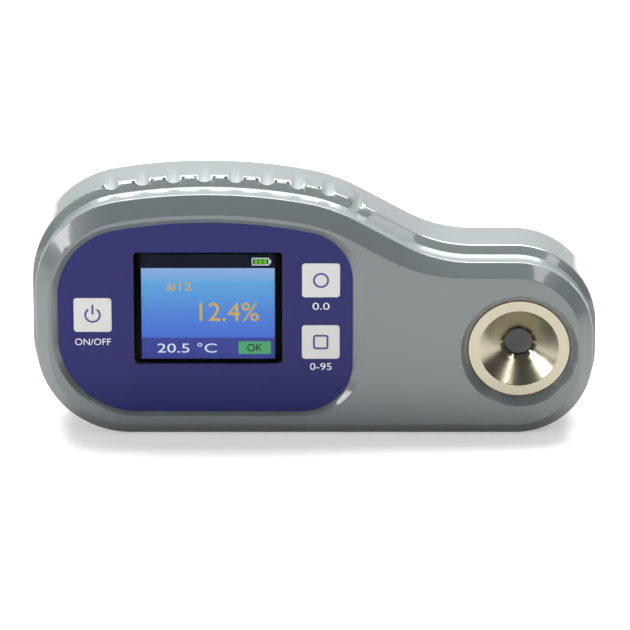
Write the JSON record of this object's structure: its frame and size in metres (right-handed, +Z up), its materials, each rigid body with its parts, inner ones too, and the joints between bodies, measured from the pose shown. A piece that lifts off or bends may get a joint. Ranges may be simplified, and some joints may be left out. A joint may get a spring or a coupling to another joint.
{
  "type": "digital refractometer",
  "caption": "Handheld digital refractometer on its edge: grey two-part case with a tall head, colour screen, membrane keys, steel sample well and battery door.",
  "frame": {"origin": "middle of the bottom of the instrument's box, on the surface it stands on", "axes": "+X from the keys to the sample well, the screen and well face -Y, +Z up"},
  "size_m": [0.1204, 0.025, 0.0562],
  "materials": {
    "black_plastic": "matte",
    "board_green": "satin",
    "border_black": "gloss",
    "brass": "satin",
    "case_grey": "satin",
    "cell_wrap": "satin",
    "dish_steel": "satin",
    "display": "gloss",
    "film_blue": "gloss",
    "flex_amber": "satin",
    "key_white": "satin",
    "lamp_epoxy": "gloss",
    "prism_glass": "gloss",
    "screw_steel": "satin",
    "seal_rubber": "matte",
    "spring_steel": "gloss",
    "tin_plate": "satin",
    "white_plastic": "satin",
    "window_clear": "gloss"
  },
  "bodies": {
    "case": {"front_shell": "case_grey", "rear_shell": "case_grey", "case_seal": "seal_rubber", "case_screws": "screw_steel", "overlay_film": "film_blue", "window_pane": "window_clear", "window_border": "border_black", "display_cell": "display", "display_backlight": "white_plastic", "display_tray": "tin_plate", "display_carrier": "black_plastic", "display_ribbon": "flex_amber", "display_socket": "black_plastic", "main_board": "board_green", "board_screws": "screw_steel", "microcontroller": "black_plastic", "key_switches": "black_plastic", "battery_cell": "cell_wrap", "battery_spring": "spring_steel", "negative_contact": "tin_plate", "positive_contact": "tin_plate", "sample_dish": "dish_steel", "dish_seal": "seal_rubber", "dish_nut": "brass", "prism": "prism_glass", "prism_seal": "seal_rubber", "optics_block": "black_plastic", "optics_screws": "screw_steel", "led_lamp": "lamp_epoxy", "led_board": "board_green", "sensor_lens": "prism_glass", "line_sensor": "black_plastic", "sensor_board": "board_green", "temperature_probe": "black_plastic", "ribbon_sockets": "black_plastic", "lamp_ribbon": "flex_amber", "sensor_ribbon": "flex_amber"},
    "power_key": {"power_key": "key_white", "power_plunger": "black_plastic", "power_switch_stem": "black_plastic"},
    "zero_key": {"zero_key": "key_white", "zero_plunger": "black_plastic", "zero_switch_stem": "black_plastic"},
    "read_key": {"read_key": "key_white", "read_plunger": "black_plastic", "read_switch_stem": "black_plastic"},
    "battery_door": {"battery_door": "case_grey", "door_gasket": "seal_rubber", "door_screws": "screw_steel"}
  },
  "joints": [
    {"name": "power_key_press", "type": "slide", "parent": "case", "child": "power_key", "axis": [0, 1, 0], "range_m": [0, 0.0003], "stiffness_N_per_m": 4000},
    {"name": "zero_key_press", "type": "slide", "parent": "case", "child": "zero_key", "axis": [0, 1, 0], "range_m": [0, 0.0003], "stiffness_N_per_m": 4000},
    {"name": "read_key_press", "type": "slide", "parent": "case", "child": "read_key", "axis": [0, 1, 0], "range_m": [0, 0.0003], "stiffness_N_per_m": 4000},
    {"name": "battery_door_lift", "type": "slide", "parent": "case", "child": "battery_door", "axis": [0, 1, 0], "range_m": [0, 0.03]}
  ]
}
